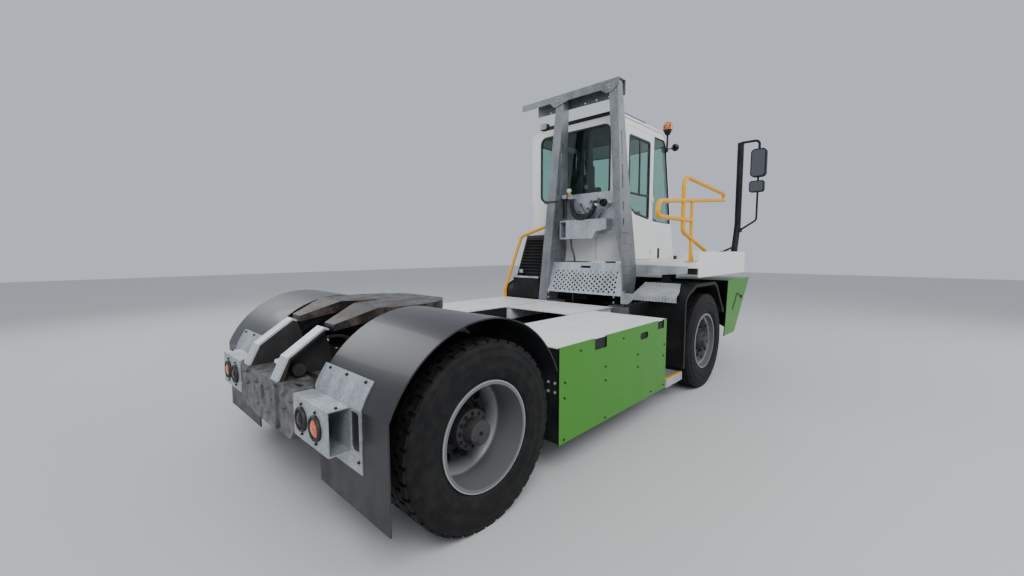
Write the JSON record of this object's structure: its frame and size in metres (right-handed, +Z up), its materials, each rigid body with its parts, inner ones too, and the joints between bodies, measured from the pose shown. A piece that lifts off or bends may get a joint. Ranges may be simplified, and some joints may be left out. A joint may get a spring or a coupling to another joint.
{
  "type": "terminal tractor",
  "caption": "electric yard tractor with an offset single-seat cab, a headboard frame and a lifting fifth wheel between twin rear wheels",
  "frame": {"origin": "on the ground under the middle of the machine's bounding box", "axes": "+X forward along the machine, +Y to its left, +Z up; wheels turn about Y"},
  "size_m": [5.665, 2.849, 3.3559],
  "materials": {
    "black_plastic": "matt black moulding",
    "chrome_rod": "polished rod",
    "frame_steel": "matt black chassis paint, dusty",
    "galvanised": "hot-dip galvanised, dull and spangled",
    "greasy_steel": "dark steel under old grease",
    "green_paint": "semi-gloss green",
    "guard_black": "glossy dark grey sheet",
    "lamp_lens": "orange lens",
    "seat_fabric": "dark woven cover",
    "tinted_glass": "light green tint",
    "tyre_rubber": "worn black tyre",
    "wheel_silver": "silver wheel paint",
    "white_paint": "semi-gloss white",
    "yellow_paint": "gloss yellow tube"
  },
  "bodies": {
    "chassis": {"frame_rails": "frame_steel", "cross_tubes": "frame_steel", "rear_crossmember": "greasy_steel", "rear_axle": "frame_steel", "front_axle": "frame_steel", "drive_motor": "frame_steel", "rear_mudguards": "guard_black", "lamp_brackets": "galvanised", "lamps": "lamp_lens", "battery_boxes": "frame_steel", "battery_covers": "green_paint", "deck_sheets": "white_paint", "headboard_posts": "galvanised", "headboard_beam": "galvanised", "headboard_screen": "galvanised", "coupling_bracket": "galvanised", "air_lines": "black_plastic", "access_steps": "galvanised", "platform": "white_paint", "front_mudguards": "black_plastic", "front_bumper": "green_paint", "louvre_cabinet": "black_plastic", "handrails": "yellow_paint", "mirrors": "black_plastic"},
    "cab": {"cab_body": "white_paint", "cab_roof": "white_paint", "cab_glass": "tinted_glass", "seat": "seat_fabric", "dashboard": "black_plastic", "roof_lamps": "black_plastic"},
    "cab_door": {"cab_door": "white_paint", "door_glass": "tinted_glass"},
    "lift_frame": {"lift_frame": "greasy_steel"},
    "fifth_wheel": {"fifth_wheel": "greasy_steel"},
    "lift_barrels": {"lift_barrels": "frame_steel"},
    "lift_rods": {"lift_rods": "chrome_rod"},
    "right_knuckle": {"knuckle_right": "frame_steel"},
    "left_knuckle": {"knuckle_left": "frame_steel"},
    "tie_rod": {"tie_rod": "frame_steel"},
    "right_front_wheel": {"front_rim_right": "wheel_silver", "front_tyre_right": "tyre_rubber"},
    "left_front_wheel": {"front_rim_left": "wheel_silver", "front_tyre_left": "tyre_rubber"},
    "right_rear_wheels": {"rear_rims_right": "wheel_silver", "rear_tyres_right": "tyre_rubber"},
    "left_rear_wheels": {"rear_rims_left": "wheel_silver", "rear_tyres_left": "tyre_rubber"}
  },
  "joints": [
    {"name": "right_rear_spin", "type": "hinge", "parent": "chassis", "child": "right_rear_wheels", "pos_m": [-2.1045, -1.089, 0.515], "axis": [0, 1, 0], "continuous": true},
    {"name": "left_rear_spin", "type": "hinge", "parent": "chassis", "child": "left_rear_wheels", "pos_m": [-2.1045, 1.089, 0.515], "axis": [0, 1, 0], "continuous": true},
    {"name": "right_steer", "type": "hinge", "parent": "chassis", "child": "right_knuckle", "pos_m": [1.1955, -0.96, 0.515], "axis": [0, 0, 1], "range_deg": [-35, 35]},
    {"name": "left_steer", "type": "hinge", "parent": "chassis", "child": "left_knuckle", "pos_m": [1.1955, 0.96, 0.515], "axis": [0, 0, 1], "range_deg": [-35, 35]},
    {"name": "tie_rod_pivot", "type": "hinge", "parent": "right_knuckle", "child": "tie_rod", "pos_m": [1.0055, -0.96, 0.403], "axis": [0, 0, 1], "range_deg": [-35, 35]},
    {"name": "right_front_spin", "type": "hinge", "parent": "right_knuckle", "child": "right_front_wheel", "pos_m": [1.1955, -1.078, 0.515], "axis": [0, 1, 0], "continuous": true},
    {"name": "left_front_spin", "type": "hinge", "parent": "left_knuckle", "child": "left_front_wheel", "pos_m": [1.1955, 1.078, 0.515], "axis": [0, 1, 0], "continuous": true},
    {"name": "lift", "type": "hinge", "parent": "chassis", "child": "lift_frame", "pos_m": [-0.4045, 0, 0.69], "axis": [0, 1, 0], "range_deg": [0, 24]},
    {"name": "plate_rock", "type": "hinge", "parent": "lift_frame", "child": "fifth_wheel", "pos_m": [-2.0545, 0, 1.03], "axis": [0, 1, 0], "range_deg": [-24, 0]},
    {"name": "cylinder_swing", "type": "hinge", "parent": "chassis", "child": "lift_barrels", "pos_m": [-1.1745, 0, 0.26], "axis": [0, 1, 0], "range_deg": [0, 7.75]},
    {"name": "cylinder_slide", "type": "slide", "parent": "lift_barrels", "child": "lift_rods", "axis": [-0.063, 0, 0.998], "range_m": [0, 0.3231]},
    {"name": "cab_tilt", "type": "hinge", "parent": "chassis", "child": "cab", "pos_m": [2.3355, 0.35, 1.325], "axis": [0, 1, 0], "range_deg": [0, 45]},
    {"name": "door_hinge", "type": "hinge", "parent": "cab", "child": "cab_door", "pos_m": [1.6655, -0.342, 2.15], "axis": [0, 0, 1], "range_deg": [0, 85]}
  ],
  "couplings": [
    {"joint": "left_steer", "follows": "right_steer", "ratio": 1},
    {"joint": "tie_rod_pivot", "follows": "right_steer", "ratio": -1},
    {"joint": "plate_rock", "follows": "lift", "ratio": -1},
    {"joint": "cylinder_swing", "follows": "lift", "ratio": 0.32252},
    {"joint": "cylinder_slide", "follows": "lift", "m_per_rad": 0.77021}
  ]
}
